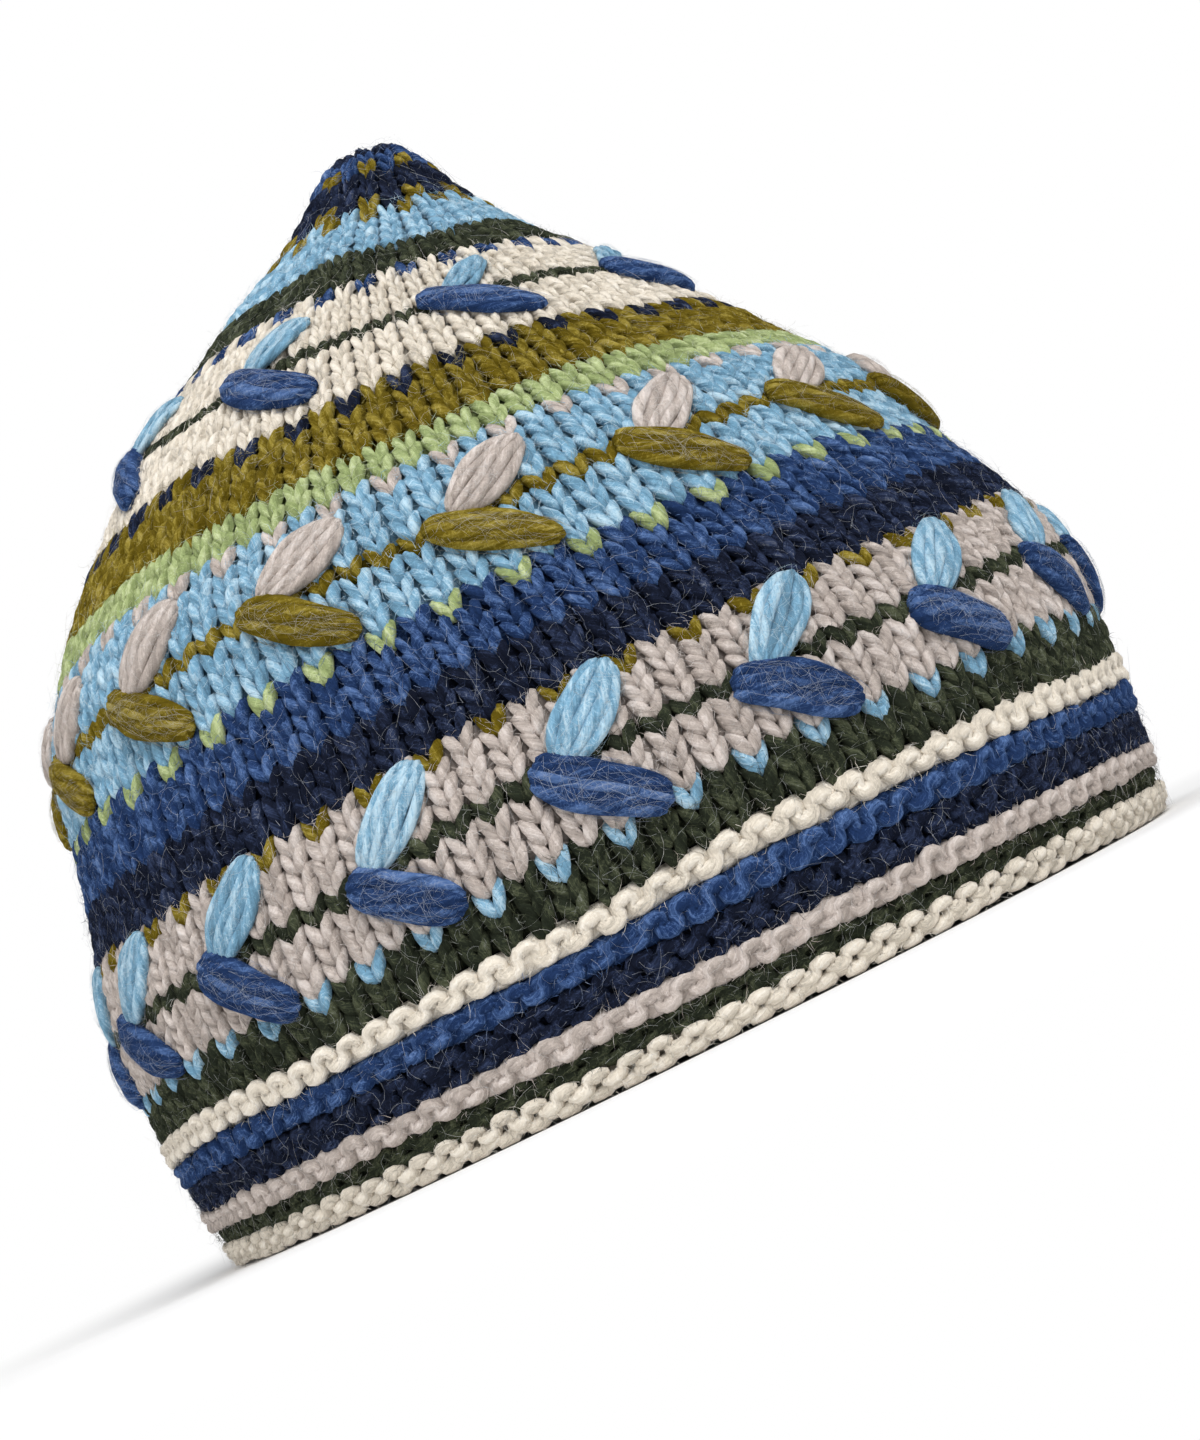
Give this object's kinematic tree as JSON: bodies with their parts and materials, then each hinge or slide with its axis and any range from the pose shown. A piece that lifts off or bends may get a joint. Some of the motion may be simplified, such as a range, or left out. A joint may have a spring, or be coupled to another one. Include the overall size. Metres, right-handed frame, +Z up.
{
  "type": "alpaca hat",
  "caption": "Peaked knitted alpaca hat with patterned stripes, raised leaf stitches, a garter-ridged band and a fleece lining, standing on its rim.",
  "frame": {"origin": "middle of the hat's box at its foot, on the surface that the rim rests on", "axes": "+Z up from the rim to the tip, -Y to the front where the leaf pairs are seen best, +X to the side that the tip leans to"},
  "size_m": [0.2049, 0.2072, 0.182],
  "materials": {
    "yarn_cream": "fuzzy alpaca wool, matt",
    "yarn_beige": "fuzzy alpaca wool, matt",
    "yarn_blue": "fuzzy alpaca wool, matt",
    "yarn_navy": "fuzzy alpaca wool, matt",
    "yarn_light_blue": "fuzzy alpaca wool, matt",
    "yarn_olive": "fuzzy alpaca wool, matt",
    "yarn_light_green": "fuzzy alpaca wool, matt",
    "yarn_dark_green": "fuzzy alpaca wool, matt",
    "fleece_black": "short napped fleece, matt"
  },
  "bodies": {
    "root": {"band": "yarn_cream", "crown": "yarn_blue", "lining": "fleece_black", "leaves_lower_1": "yarn_blue", "leaves_lower_2": "yarn_blue", "leaves_lower_3": "yarn_blue", "leaves_lower_4": "yarn_blue", "leaves_lower_5": "yarn_blue", "leaves_lower_6": "yarn_blue", "leaves_lower_7": "yarn_blue", "leaves_lower_8": "yarn_blue", "leaves_lower_9": "yarn_blue", "leaves_lower_10": "yarn_blue", "leaves_lower_11": "yarn_blue", "leaves_lower_12": "yarn_blue", "leaves_lower_13": "yarn_blue", "leaves_lower_14": "yarn_blue", "leaves_lower_15": "yarn_blue", "leaves_lower_16": "yarn_blue", "leaves_lower_17": "yarn_blue", "leaves_lower_18": "yarn_blue", "leaves_middle_1": "yarn_olive", "leaves_middle_2": "yarn_olive", "leaves_middle_3": "yarn_olive", "leaves_middle_4": "yarn_olive", "leaves_middle_5": "yarn_olive", "leaves_middle_6": "yarn_olive", "leaves_middle_7": "yarn_olive", "leaves_middle_8": "yarn_olive", "leaves_middle_9": "yarn_olive", "leaves_middle_10": "yarn_olive", "leaves_middle_11": "yarn_olive", "leaves_middle_12": "yarn_olive", "leaves_middle_13": "yarn_olive", "leaves_middle_14": "yarn_olive", "leaves_middle_15": "yarn_olive", "leaves_middle_16": "yarn_olive", "leaves_top_1": "yarn_blue", "leaves_top_2": "yarn_blue", "leaves_top_3": "yarn_blue", "leaves_top_4": "yarn_blue", "leaves_top_5": "yarn_blue", "leaves_top_6": "yarn_blue", "leaves_top_7": "yarn_blue", "leaves_top_8": "yarn_blue", "leaves_top_9": "yarn_blue"}
  },
  "joints": []
}
